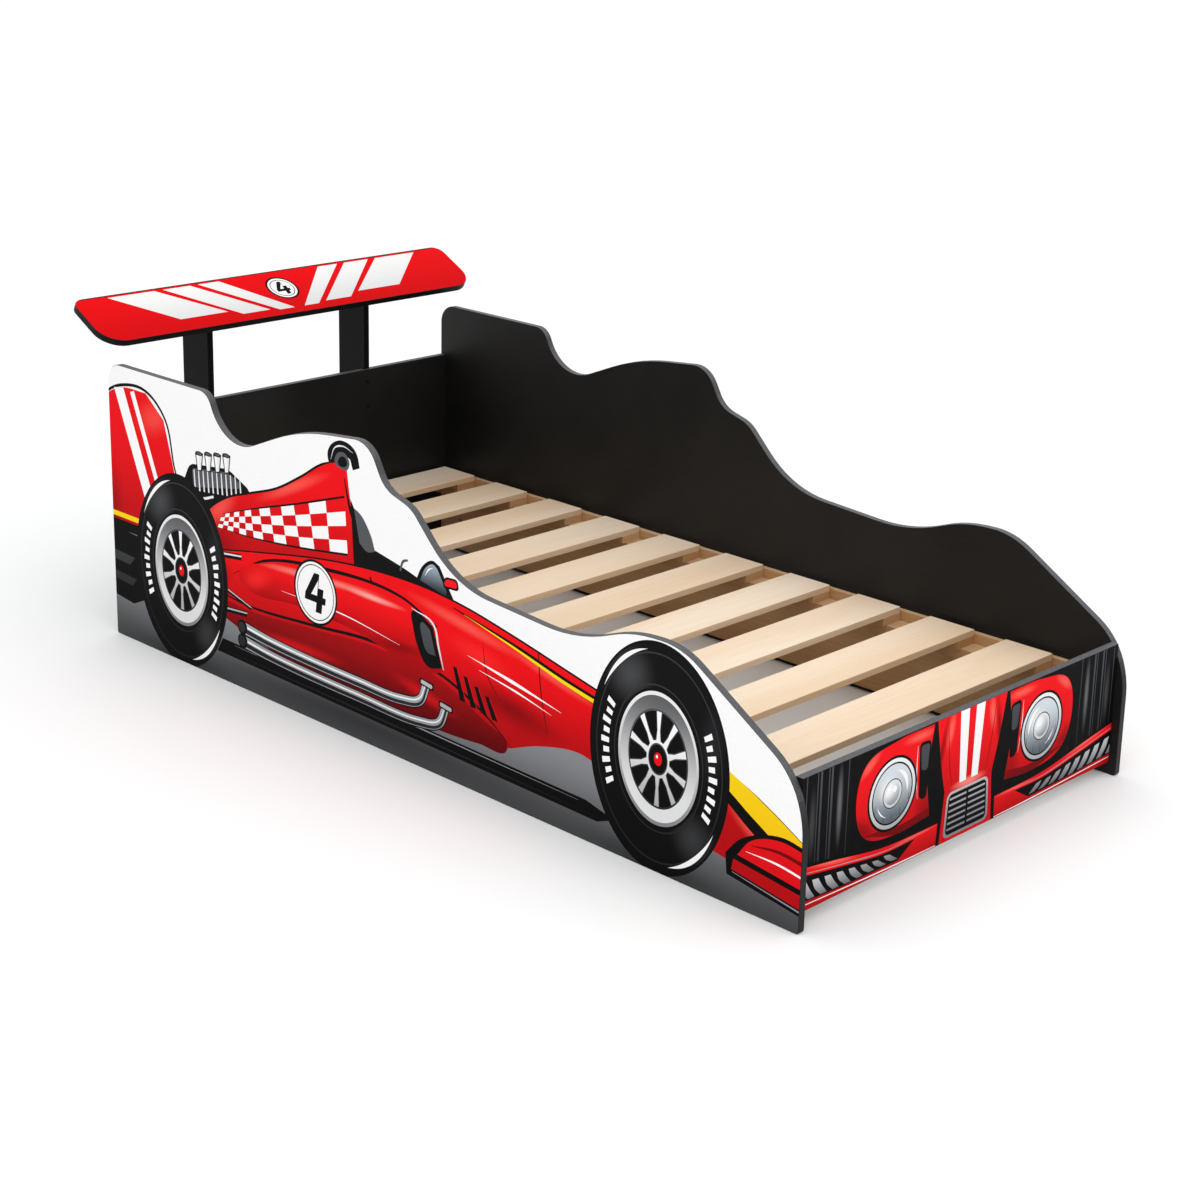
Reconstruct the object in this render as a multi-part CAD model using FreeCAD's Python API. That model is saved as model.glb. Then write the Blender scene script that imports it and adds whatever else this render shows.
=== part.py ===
import FreeCAD, Part
import os
from math import cos, radians, sin, tan

# A children's bed shaped like a racing car, in millimetres. The nose points towards +X,
# the car's left side is +Y, and Z = 0 is the floor. The origin is on the floor, half way
# along and half way across everything.

# The mattress and the room round it
mattress_width = 880.0
mattress_length = 1880.0
mattress_side_play = 25.0
mattress_end_play = 3.5

# Boards
panel_thickness = 15.0
end_board_thickness = 15.0
edge_round = 1.0
least_straight = 1.5

# Headboard and footboard, between the side panels
headboard_top = 488.0
footboard_top = 265.0
end_board_floor_gap = 24.0
headboard_setback = 0.0
footboard_setback = 18.0

# Top line of a side panel: each corner's distance from the rear edge, its height, and its round
tail_top_x = 355.0
tail_top_height = 609.0
tail_top_round = 42.0
seat_dip_x = 407.0
seat_dip_height = 489.0
seat_dip_round = 105.0
headrest_rise_x = 654.0
headrest_rise_height = 590.0
headrest_rise_round = 575.0
headrest_tip_x = 857.0
headrest_tip_height = 610.0
headrest_tip_round = 61.0
headrest_foot_x = 904.0
headrest_foot_height = 528.0
headrest_foot_round = 68.0
cockpit_rim_x = 980.0
cockpit_rim_height = 507.0
cockpit_rim_round = 73.0
entry_rear_x = 1100.0
entry_rear_height = 388.0
entry_rear_round = 241.0

# The same at the nose, measured from the front edge
entry_front_x = 517.0
entry_front_height = 368.0
entry_front_round = 369.0
wheel_rise_x = 390.0
wheel_rise_height = 419.0
wheel_rise_round = 287.0
wheel_top_x = 275.0
wheel_top_height = 423.0
wheel_top_round = 157.0
nose_brow_x = 30.0
nose_brow_height = 274.0
nose_brow_round = 141.0
nose_tip_height = 197.0
nose_tip_round = 183.0

panel_foot_round = 6.0

# Slats, the blocks under their ends, and the ledgers and rails that carry them
slat_top = 212.0
slat_count = 10
slat_width = 108.0
slat_thickness = 14.0
slat_edge_round = 1.5
slat_end_play = 1.0
first_slat_gap = 14.5
last_slat_gap = 117.5
block_thickness = 16.0
block_length = 55.0
ledger_width = 45.0
ledger_height = 22.0
rail_thickness = 12.0
rail_height = 192.0
rail_below_slat_top = 8.0
rail_end_play = 1.0

# The rear wing and its two uprights
wing_length = 1036.0
wing_depth = 152.0
wing_thickness = 15.0
wing_tilt = 27.4
wing_front_corner = 56.0
wing_rear_corner = 27.0
wing_front_overhang = 50.0
upright_thickness = 15.0
upright_depth = 92.0
upright_rise = 185.5
upright_drop = 120.0
upright_setback = 3.5
upright_spacing = 444.0
upright_foot_round = 25.0

# Fasteners: the play round them and at their tips, and the wood left past a blind hole
radial_play = 0.1
end_play = 0.5
blind_skin = 3.5
dowel_radius = 4.0
dowel_in_edge = 20.0
peg_in_ledger = 12.0
cam_radius = 7.5
cam_floor = 2.0
cam_slot = 2.0
cam_slot_depth = 3.0
cam_bolt_radius = 3.5
cam_bolt_reach = 24.0
cam_bolt_past_centre = 3.0
cam_thread_radius = 3.0
headboard_cams = 3
footboard_cams = 2
corner_cam_inset = 50.0
wood_screw_radius = 2.0
wood_screw_head_radius = 4.0
wood_screw_head_height = 2.6
screw_cross_width = 1.0
screw_cross_depth = 1.5
rail_screw_count = 6
rail_screw_inset = 70.0
nail_radius = 0.9
nail_spread = 60.0
upright_screw_radius = 2.5
upright_screw_head_radius = 5.0
upright_screw_head_height = 3.5
upright_screw_bite = 35.0
upright_screw_inset = 30.0
wing_dowel_inset = 20.0

# Places that follow from the sizes above
bay_length = mattress_length + 2 * mattress_end_play
bay_half_width = mattress_width / 2 + mattress_side_play
panel_length = (headboard_setback + end_board_thickness + bay_length
                + end_board_thickness + footboard_setback)

wing_run = cos(radians(wing_tilt))
wing_fall = sin(radians(wing_tilt))
upright_front = headboard_setback + end_board_thickness - upright_setback
upright_rear = upright_front - upright_depth
wing_front = upright_front + wing_front_overhang * wing_run
wing_rear = wing_front - wing_depth * wing_run
rear_reach = -min(upright_rear, wing_rear, 0.0)

panel_rear = (rear_reach - panel_length) / 2
headboard_rear = panel_rear + headboard_setback
headboard_front = headboard_rear + end_board_thickness
footboard_rear = headboard_front + bay_length

block_top = slat_top - slat_thickness
ledger_top = block_top - block_thickness
rail_top = slat_top - rail_below_slat_top
rail_inner = bay_half_width - rail_thickness
slat_half_length = rail_inner - slat_end_play
ledger_inner = rail_inner - ledger_width
first_slat = headboard_front + first_slat_gap + slat_width / 2
last_slat = footboard_rear - last_slat_gap - slat_width / 2

blind_loss = blind_skin + end_play
peg_in_block = block_thickness - blind_loss
rail_screw_length = rail_thickness + panel_thickness - blind_loss
ledger_screw_length = ledger_width + rail_thickness - blind_loss
nail_length = block_thickness + slat_thickness - blind_loss
upright_screw_length = end_board_thickness + upright_screw_bite

X = FreeCAD.Vector(1, 0, 0)
Y = FreeCAD.Vector(0, 1, 0)
Z = FreeCAD.Vector(0, 0, 1)
wing_up = FreeCAD.Vector(wing_fall, 0, wing_run)
wing_forward = FreeCAD.Vector(wing_run, 0, -wing_fall)

nodes = {}


def point(x, y, z):
    return FreeCAD.Vector(x, y, z)


def spread(low, high, count):
    """Evenly spaced places from low to high."""
    return [low + (high - low) * i / max(count - 1, 1) for i in range(count)]


def box(x_low, x_high, y_low, y_high, z_low, z_high):
    return Part.makeBox(x_high - x_low, y_high - y_low, z_high - z_low, point(x_low, y_low, z_low))


def mirrored(shape):
    """The same shape on the car's right side."""
    return shape.mirror(point(0, 0, 0), Y)


def on_both_sides(shapes):
    return shapes + [mirrored(shape) for shape in shapes]


def cut(shape, holes):
    return shape.cut(Part.makeCompound(holes))


def place(shape, at, up, along):
    """The shape with its own Z turned to up and its own X turned to along."""
    moved = shape.copy()
    moved.Placement = FreeCAD.Placement(at, FreeCAD.Rotation(along, up.cross(along), up, "ZXY"))
    return moved


def rounded_outline(corners):
    """Closed wire in the XZ plane, given as x, z and round of each corner.

    Two rounds that would meet on a side are made smaller, to leave least_straight between them.
    """
    places = [point(x, 0, z) for x, z, radius in corners]
    count = len(corners)
    into = [(places[i - 1] - places[i]).normalize() for i in range(count)]
    out = [(places[(i + 1) % count] - places[i]).normalize() for i in range(count)]
    half = [into[i].getAngle(out[i]) / 2 for i in range(count)]
    reach = [corners[i][2] / tan(half[i]) for i in range(count)]
    room = []
    for i in range(count):
        side = (places[(i + 1) % count] - places[i]).Length - least_straight
        room.append(side / max(reach[i] + reach[(i + 1) % count], side))
    starts, ends = [], []
    for i in range(count):
        reach[i] *= min(room[i - 1], room[i])
        starts.append(places[i] + into[i] * reach[i])
        ends.append(places[i] + out[i] * reach[i])
    edges = []
    for i in range(count):
        if reach[i] > 0:
            radius = reach[i] * tan(half[i])
            centre_way = (into[i] + out[i]).normalize()
            middle = places[i] + centre_way * (radius / sin(half[i]) - radius)
            edges.append(Part.Arc(starts[i], middle, ends[i]).toShape())
        edges.append(Part.LineSegment(ends[i], starts[(i + 1) % count]).toShape())
    return Part.Wire(edges)


def board(corners, thickness):
    """A board cut to an outline in the XZ plane, from Y = 0 to its thickness, with eased edges."""
    blank = Part.Face(rounded_outline(corners)).extrude(Y * thickness)
    rim = [edge for edge in blank.Edges if edge.BoundBox.YLength < edge_round]
    return blank.makeFillet(edge_round, rim)


def eased_box(blank, along):
    """The box with its long edges, those along one axis, eased."""
    rim = [edge for edge in blank.Edges if edge.tangentAt(edge.FirstParameter).cross(along).Length < 0.5]
    return blank.makeFillet(edge_round, rim)


# Fasteners, each made upright at the origin. With play and deeper they give the hole instead.


def pin(radius, up, down, play=0.0, deeper=0.0):
    """A plain round pin that goes up and down from the joint at Z = 0."""
    return Part.makeCylinder(radius + play, up + down + 2 * deeper, point(0, 0, -down - deeper))


def face_dowel(thickness, play=0.0, deeper=0.0):
    """A dowel that goes up into the face of a board and down into the edge of another."""
    return pin(dowel_radius, thickness - blind_loss, dowel_in_edge, play, deeper)


def peg(play=0.0, deeper=0.0):
    return pin(dowel_radius, peg_in_block, peg_in_ledger, play, deeper)


def cross(length, width, depth):
    """What a cross-slot driver takes out of a head at Z = 0."""
    bar = Part.makeBox(length, width, depth, point(-length / 2, -width / 2, -depth))
    return bar.fuse(bar.rotated(point(0, 0, 0), Z, 90))


def screw(length, radius, head_radius, head_height, play=0.0, deeper=0.0):
    """A countersunk screw pointing down from its head at Z = 0, or with play its hole."""
    shank = Part.makeCylinder(radius + play, length + deeper, point(0, 0, -length - deeper))
    head = Part.makeCone(radius + play, head_radius + play, head_height, point(0, 0, -head_height))
    shape = shank.fuse(head)
    if play == 0.0:
        shape = shape.cut(cross(head_radius, screw_cross_width, screw_cross_depth))
    return shape.removeSplitter()


def wood_screw(length, play=0.0, deeper=0.0):
    return screw(length, wood_screw_radius, wood_screw_head_radius, wood_screw_head_height, play, deeper)


def upright_screw(play=0.0, deeper=0.0):
    return screw(upright_screw_length, upright_screw_radius, upright_screw_head_radius,
                 upright_screw_head_height, play, deeper)


def cam_bolt(thickness, play=0.0, deeper=0.0):
    """A bolt screwed up into the face of a board, its shank pointing down to the cam lock."""
    thread = pin(cam_thread_radius, thickness - blind_loss + deeper, 0.0, play)
    shank = pin(cam_bolt_radius, 0.0, cam_bolt_reach + cam_bolt_past_centre, play)
    return thread.fuse(shank)


def cam_lock(thickness):
    """A lock with its face at Z = 0, gripping a bolt that comes in along X half way down the board."""
    lock = pin(cam_radius, 0.0, thickness - cam_floor - end_play)
    past = cam_bolt_past_centre + end_play
    start = point(-past, 0, -thickness / 2)
    bolt = Part.makeCylinder(cam_bolt_radius + radial_play, cam_radius + past, start, X)
    slots = cross(cam_radius, cam_slot, cam_slot_depth).rotated(point(0, 0, 0), Z, 45)
    return lock.cut(bolt).cut(slots)


def cam_pocket(thickness):
    return pin(cam_radius + radial_play, 0.0, thickness - cam_floor)


# Where the pieces go


def rows(piece, places, up, along):
    return [place(piece, at, up, along) for at in places]


def near(pieces, x, reach):
    """Those pieces whose middle lies within reach of x along the bed."""
    return [piece for piece in pieces if abs(piece.BoundBox.Center.x - x) < reach]


bolt_places = []
dowel_places = []
for rear, top, cams in ((headboard_rear, headboard_top, headboard_cams),
                        (footboard_rear, footboard_top, footboard_cams)):
    heights = spread(end_board_floor_gap + corner_cam_inset, top - corner_cam_inset, cams)
    middle = rear + end_board_thickness / 2
    bolt_places += [point(middle, bay_half_width, z) for z in heights]
    dowel_places += [point(middle, bay_half_width, (low + high) / 2)
                     for low, high in zip(heights, heights[1:])]
cam_places = [at - Y * cam_bolt_reach - X * end_board_thickness / 2 for at in bolt_places]

rail_rear = headboard_front + rail_end_play
rail_front = footboard_rear - rail_end_play
rail_screw_height = (rail_top - rail_height + ledger_top - ledger_height) / 2
rail_screw_places = [point(x, rail_inner, rail_screw_height)
                     for x in spread(rail_rear + rail_screw_inset, rail_front - rail_screw_inset,
                                     rail_screw_count)]
slat_places = spread(first_slat, last_slat, slat_count)
ledger_screw_places = [point((a + b) / 2, ledger_inner, ledger_top - ledger_height / 2)
                       for a, b in zip(slat_places[::2], slat_places[1::2])]
peg_places = [point(x, slat_half_length - block_length / 2, ledger_top) for x in slat_places]
nail_places = [at + X * way * nail_spread / 2 for at in peg_places for way in (-1, 1)]

upright_places = [-upright_spacing / 2, upright_spacing / 2]
upright_front_x = panel_rear + upright_front
upright_top_length = upright_depth / wing_run
upright_foot = headboard_top - upright_drop
upright_screw_places = [point(headboard_front, y, z) for y in upright_places
                        for z in (headboard_top - upright_screw_inset, upright_foot + upright_screw_inset)]


def under_wing(back, y):
    """A point of the wing's underside, at a distance back from the uprights' front edge."""
    return point(upright_front_x, y, headboard_top + upright_rise) - wing_forward * back


wing_bolt_places = [under_wing(upright_top_length / 2, y) for y in upright_places]
wing_dowel_places = [under_wing(back, y) for y in upright_places
                     for back in (wing_dowel_inset, upright_top_length - wing_dowel_inset)]
# The locks go into the left face of both uprights, because the two uprights are the same part
wing_cam_places = [at - wing_up * cam_bolt_reach + Y * upright_thickness / 2 for at in wing_bolt_places]

# Fasteners at their places, on the left side where there are two. With the sizes of a hole
# they are what the boards are drilled for.
hole = {"play": radial_play, "deeper": end_play}


def corner_bolts(**size):
    return rows(cam_bolt(panel_thickness, **size), bolt_places, Y, X)


def corner_dowels(**size):
    return rows(face_dowel(panel_thickness, **size), dowel_places, Y, X)


def rail_screws(**size):
    return rows(wood_screw(rail_screw_length, **size), rail_screw_places, -Y, X)


def ledger_screws(**size):
    return rows(wood_screw(ledger_screw_length, **size), ledger_screw_places, -Y, X)


def slat_pegs(**size):
    return rows(peg(**size), peg_places, Z, X)


def slat_nails(**size):
    return rows(pin(nail_radius, nail_length, 0.0, **size), nail_places, Z, X)


def upright_screws(**size):
    return rows(upright_screw(**size), upright_screw_places, X, Z)


def wing_bolts(**size):
    return rows(cam_bolt(wing_thickness, **size), wing_bolt_places, wing_up, Y)


def wing_dowels(**size):
    return rows(face_dowel(wing_thickness, **size), wing_dowel_places, wing_up, Y)


# The boards


def side_panel():
    rear = panel_rear
    front = panel_rear + panel_length
    outline = [
        (rear, tail_top_height, tail_top_round),
        (rear + tail_top_x, tail_top_height, tail_top_round),
        (rear + seat_dip_x, seat_dip_height, seat_dip_round),
        (rear + headrest_rise_x, headrest_rise_height, headrest_rise_round),
        (rear + headrest_tip_x, headrest_tip_height, headrest_tip_round),
        (rear + headrest_foot_x, headrest_foot_height, headrest_foot_round),
        (rear + cockpit_rim_x, cockpit_rim_height, cockpit_rim_round),
        (rear + entry_rear_x, entry_rear_height, entry_rear_round),
        (front - entry_front_x, entry_front_height, entry_front_round),
        (front - wheel_rise_x, wheel_rise_height, wheel_rise_round),
        (front - wheel_top_x, wheel_top_height, wheel_top_round),
        (front - nose_brow_x, nose_brow_height, nose_brow_round),
        (front, nose_tip_height, nose_tip_round),
        (front, 0.0, panel_foot_round),
        (rear, 0.0, panel_foot_round),
    ]
    panel = board(outline, panel_thickness)
    panel.translate(Y * bay_half_width)
    return cut(panel, corner_bolts(**hole) + corner_dowels(**hole) + rail_screws(**hole))


def end_board(rear, top):
    blank = box(rear, rear + end_board_thickness, -bay_half_width, bay_half_width, end_board_floor_gap, top)
    holes = corner_bolts(**hole) + corner_dowels(**hole)
    holes += rows(cam_pocket(end_board_thickness), cam_places, -X, Y)
    return cut(eased_box(blank, Y), on_both_sides(near(holes, rear, 2 * end_board_thickness)))


def upright(y):
    top_front = headboard_top + upright_rise
    top_rear = top_front + upright_depth * wing_fall / wing_run
    rear = upright_front_x - upright_depth
    outline = [(upright_front_x, headboard_top, 0.0), (upright_front_x, top_front, 0.0),
               (rear, top_rear, 0.0), (rear, upright_foot, upright_foot_round),
               (headboard_rear, upright_foot, 0.0), (headboard_rear, headboard_top, 0.0)]
    shape = Part.Face(rounded_outline(outline)).extrude(Y * upright_thickness)
    shape.translate(Y * (y - upright_thickness / 2))
    pockets = rows(cam_pocket(upright_thickness), wing_cam_places, Y, wing_up)
    return cut(shape, wing_bolts(**hole) + wing_dowels(**hole) + pockets + upright_screws(**hole))


def wing_board():
    half = wing_length / 2
    outline = [(0.0, -half, wing_front_corner), (0.0, half, wing_front_corner),
               (-wing_depth, half, wing_rear_corner), (-wing_depth, -half, wing_rear_corner)]
    shape = board(outline, wing_thickness)
    front_edge = under_wing(-wing_front_overhang, 0.0)
    shape.Placement = FreeCAD.Placement(front_edge, FreeCAD.Rotation(wing_forward, wing_up, -Y, "XYZ"))
    return cut(shape, wing_bolts(**hole) + wing_dowels(**hole))


def side_rail():
    blank = box(rail_rear, rail_front, rail_inner, bay_half_width, rail_top - rail_height, rail_top)
    return cut(eased_box(blank, X), rail_screws(**hole) + ledger_screws(**hole))


def ledger():
    blank = box(rail_rear, rail_front, ledger_inner, rail_inner, ledger_top - ledger_height, ledger_top)
    return cut(eased_box(blank, X), ledger_screws(**hole) + slat_pegs(**hole))


def slat(x):
    blank = box(x - slat_width / 2, x + slat_width / 2, -slat_half_length, slat_half_length,
                block_top, slat_top)
    nails = near(slat_nails(**hole), x, slat_width / 2)
    return cut(blank.makeFillet(slat_edge_round, blank.Edges), on_both_sides(nails))


def end_block(x):
    block = box(x - slat_width / 2, x + slat_width / 2, slat_half_length - block_length,
                slat_half_length, ledger_top, block_top)
    return cut(block, near(slat_nails(**hole) + slat_pegs(**hole), x, slat_width / 2))


def add(name, solids):
    nodes[name] = solids[0] if len(solids) == 1 else Part.makeCompound(solids)


def add_pair(name, shape):
    add(f"{name}_left", [shape])
    add(f"{name}_right", [mirrored(shape)])


add_pair("side_panel", side_panel())
add("headboard", [cut(end_board(headboard_rear, headboard_top), upright_screws(**hole))])
add("footboard", [end_board(footboard_rear, footboard_top)])
add("wing_board", [wing_board()])
for side, y in zip(("right", "left"), upright_places):
    add(f"wing_upright_{side}", [upright(y)])
add_pair("side_rail", side_rail())
add_pair("slat_ledger", ledger())
for number, x in enumerate(slat_places, start=1):
    add(f"slat_{number:02d}", [slat(x)])
    add(f"slat_end_blocks_{number:02d}", on_both_sides([end_block(x)]))

add("corner_cam_bolts", on_both_sides(corner_bolts()))
add("corner_cam_locks", on_both_sides(rows(cam_lock(end_board_thickness), cam_places, -X, Y)))
add("corner_dowels", on_both_sides(corner_dowels()))
add("rail_screws", on_both_sides(rail_screws()))
add("ledger_screws", on_both_sides(ledger_screws()))
add("slat_pegs", on_both_sides(slat_pegs()))
add("slat_nails", on_both_sides(slat_nails()))
add("upright_screws", upright_screws())
add("wing_cam_bolts", wing_bolts())
add("wing_cam_locks", rows(cam_lock(upright_thickness), wing_cam_places, Y, wing_up))
add("wing_dowels", wing_dowels())

os.makedirs("parts", exist_ok=True)
for name, shape in nodes.items():
    shape.exportStep(f"parts/{name}.step")
    print(f"{name:24s} solids {len(shape.Solids):3d}  volume {shape.Volume / 1000:10.1f} cm3"
          f"  valid {shape.isValid()}")
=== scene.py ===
"""The finish of a child's bed shaped like a racing car: its printed boards, black laminate,
wood grain and metal, with a camera, soft light and a pale floor. Everything is in metres in
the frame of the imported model; the drawings on the boards are in millimetres."""
from math import cos, pi, radians, sin

import bpy
from mathutils import Matrix, Vector
from mathutils.geometry import delaunay_2d_cdt, interpolate_bezier


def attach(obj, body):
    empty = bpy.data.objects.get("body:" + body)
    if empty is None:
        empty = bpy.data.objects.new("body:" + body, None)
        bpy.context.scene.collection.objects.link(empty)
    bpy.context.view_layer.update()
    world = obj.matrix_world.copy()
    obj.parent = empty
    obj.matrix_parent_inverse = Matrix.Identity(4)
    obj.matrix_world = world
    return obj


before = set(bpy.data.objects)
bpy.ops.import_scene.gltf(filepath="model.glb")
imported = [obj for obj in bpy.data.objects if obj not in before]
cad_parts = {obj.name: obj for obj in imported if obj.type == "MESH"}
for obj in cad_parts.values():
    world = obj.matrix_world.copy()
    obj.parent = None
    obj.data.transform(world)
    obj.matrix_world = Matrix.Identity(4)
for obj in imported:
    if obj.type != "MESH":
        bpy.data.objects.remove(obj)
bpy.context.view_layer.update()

MM = 0.001
ALONG_BED, ACROSS_BED, UPWARD = Vector((1, 0, 0)), Vector((0, 1, 0)), Vector((0, 0, 1))

# The camera: where it stands, which way it looks, and its lens for an image of 1200 by 1200
IMAGE_SIDE = 1200
SENSOR_WIDTH = 36.0
CAMERA_PLACE = Vector((3.0814, -3.1028, 1.7202))
CAMERA_AZIMUTH = 44.14
CAMERA_ELEVATION = 16.08
CAMERA_ROLL = 1.32
CAMERA_FOCAL_PIXELS = 2263.0
CAMERA_SHIFT_UP = -0.10

# The printed film on the boards: its thickness, how high its skin lies on them, and its shine
FILM_THICKNESS = 0.00025
FILM_LIFT = 0.00030
FILM_SPECULAR = 0.02

# How finely curves and discs are drawn, and the least width of a line, in millimetres
SPAN_STEPS = 10
DISC_STEPS = 96
HAIRLINE = 0.4

# The printed wheels, in the side panels' own place: ovals, narrower than they are tall
WHEEL_RADIUS = 206.0
WHEEL_SQUEEZE = 0.77
REAR_HUB = Vector((-680.0, 204.0))
FRONT_HUB = Vector((688.0, 208.0))
SPOKES = 10

# The plain figure 4 and the hole in it, drawn for a disc of this radius
FIGURE_DISC = 68.0
FOUR = [(8, 44), (-10, 44), (-34, -6), (-34, -22), (6, -22), (6, -44), (26, -44), (26, -22), (36, -22),
        (36, -6), (26, -6), (26, 12), (8, 12)]
FOUR_COUNTER = [(6, -6), (-14, -6), (6, 30)]

# How pale the floor is for the light it passes on and for what sees it directly, and its reach
FLOOR_PALE = (0.82, 0.82, 0.82, 1.0)
FLOOR_SEEN = (0.955, 0.968, 0.968, 1.0)
FLOOR_REACH = 40.0

# The light: the dome's brightness, and the soft lamp's place, aim, side and power
DOME_LEVEL = 1.05
LAMP_PLACE = Vector((1.9, -1.0, 3.4))
LAMP_AIM = Vector((0, 0, 0.2))
LAMP_SIDE = 3.0
LAMP_WATTS = 24.0

# The rear wing's slant from level
WING_TILT = 27.4


# ---------------------------------------------------------------- colours and node graphs

def srgb(code):
    """The linear colour, with full cover, of a web colour such as #C01318."""
    parts = [int(code[i:i + 2], 16) / 255 for i in (1, 3, 5)]
    return [p / 12.92 if p <= 0.04045 else ((p + 0.055) / 1.055) ** 2.4 for p in parts] + [1.0]


class Graph:
    """A material's node tree, with a short call for each kind of node it needs."""

    def __init__(self, name, specular=0.5, metallic=0.0):
        self.material = bpy.data.materials.new(name)
        self.material.use_nodes = True
        self.tree = self.material.node_tree
        self.shader = self.tree.nodes["Principled BSDF"]
        self.shader.inputs["Specular IOR Level"].default_value = specular
        self.shader.inputs["Metallic"].default_value = metallic
        self.place = self.node("TexCoord").outputs["Object"]

    def node(self, kind, inputs=None, **settings):
        made = self.tree.nodes.new("ShaderNode" + kind)
        for key, value in settings.items():
            setattr(made, key, value)
        for key, value in (inputs or {}).items():
            self.put(made.inputs[key], value)
        return made

    def put(self, socket, value):
        if isinstance(value, bpy.types.NodeSocket):
            self.tree.links.new(value, socket)
        else:
            socket.default_value = value

    def noise(self, waves, detail, distortion=0.0):
        """Soft noise, from 0 to 1, with so many waves to the metre: one number, or one per axis."""
        scale = waves if isinstance(waves, tuple) else (waves, waves, waves)
        place = self.node("Mapping", {"Vector": self.place, "Scale": scale}).outputs[0]
        made = self.node("TexNoise", {"Vector": place, "Scale": 1.0, "Detail": detail,
                                      "Distortion": distortion})
        return made.outputs["Fac"]

    def math(self, operation, first, second=0.0):
        return self.node("Math", {0: first, 1: second}, operation=operation).outputs[0]

    def ramp(self, value, low, high, at_low=0.0, at_high=1.0):
        """Runs smoothly from at_low, where value is low, to at_high, where it is high."""
        made = self.node("MapRange", {"Value": value, "From Min": low, "From Max": high,
                                      "To Min": at_low, "To Max": at_high},
                         interpolation_type="SMOOTHSTEP")
        return made.outputs[0]

    def mix(self, factor, first, second, blend="MIX"):
        made = self.node("Mix", {0: factor, 6: first, 7: second}, data_type="RGBA", blend_type=blend)
        return made.outputs[2]

    def height(self):
        """The height above the floor, on which every film has its origin."""
        return self.node("SeparateXYZ", {0: self.place}).outputs["Z"]

    def glow(self, centre, radii, turn=0.0, plane="XZ"):
        """A soft oval spot, 1 at its centre and 0 at its rim, on a board that lies in a plane."""
        far = 1000.0
        (across, up), (wide, tall) = ([n * MM for n in pair] for pair in (centre, radii))
        if plane == "XZ":
            place, size, spin = (across, 0, up), (wide, far, tall), (0, -radians(turn), 0)
        else:
            place, size, spin = (0, across, up), (far, wide, tall), (radians(turn), 0, 0)
        local = self.node("Mapping", {"Vector": self.place, "Location": place, "Rotation": spin,
                                      "Scale": size}, vector_type="TEXTURE").outputs[0]
        away = self.node("VectorMath", {0: local}, operation="LENGTH").outputs["Value"]
        return self.ramp(away, 0.0, 1.0, 1.0, 0.0)

    def facing(self, direction):
        """1 on faces that look along a direction or straight away from it, 0 on the others."""
        oblique, straight = 0.86, 0.97
        normal = self.node("NewGeometry").outputs["Normal"]
        share = self.node("VectorMath", {0: normal, 1: direction}, operation="DOT_PRODUCT").outputs["Value"]
        return self.ramp(self.math("ABSOLUTE", share), oblique, straight)

    def looking_up(self):
        """0 on upright faces and on those below, running to 1 on faces that slope upwards: the mask of the
        boards' painted top light.
        """
        upright, sloping = 0.08, 0.75
        normal = self.node("NewGeometry").outputs["Normal"]
        return self.ramp(self.node("SeparateXYZ", {0: normal}).outputs["Z"], upright, sloping)

    def bump(self, height, depth):
        """Raises the skin by depth millimetres where height is 1."""
        made = self.node("Bump", {"Height": height, "Distance": depth * MM})
        self.put(self.shader.inputs["Normal"], made.outputs[0])

    def colour(self, value):
        self.put(self.shader.inputs["Base Color"], value)

    def roughness(self, value):
        self.put(self.shader.inputs["Roughness"], value)


# ---------------------------------------------------------------- materials of the boards and hardware

def grained(along, lengthways, crossways):
    """A noise scale that draws the noise out along one axis: x, y or z."""
    return tuple(lengthways if axis == along else crossways for axis in "xyz")


def board(name, face_direction, along, edge="#5E5F62", face_tone="#1D1C1B", specular=0.22):
    """Black melamine on the two faces of a board, with pores that run along one axis, and black
    plastic banding round its edges, with a painted highlight that makes it paler where it looks up."""
    graph = Graph(name, specular=specular)
    face = graph.facing(face_direction)
    smudge = graph.noise(2.3, 3.0)
    pores = graph.noise(grained(along, 45, 900), 4.0, 0.3)
    speckle = graph.noise(420, 2.0)
    black = graph.mix(graph.ramp(smudge, 0.3, 0.7), srgb("#0F0F0F"), srgb(face_tone))
    black = graph.mix(graph.ramp(pores, 0.55, 0.78, 0.0, 0.5), black, srgb("#2A2928"))
    # painted highlight: the banding takes a paler, speckled grey where it looks up, standing in for light
    # from above
    painted_top_light = graph.mix(graph.ramp(speckle, 0.35, 0.65), srgb(edge), srgb("#4C4D50"))
    banding = graph.mix(graph.looking_up(), srgb("#0E0E10"), painted_top_light)
    graph.colour(graph.mix(face, banding, black))
    rough = graph.ramp(smudge, 0.25, 0.75, 0.36, 0.48)
    graph.roughness(graph.math("ADD", rough, graph.ramp(speckle, 0.3, 0.7, 0.0, 0.08)))
    graph.bump(graph.math("ADD", pores, graph.math("MULTIPLY", speckle, 0.4)), 0.06)
    return graph.material


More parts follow.
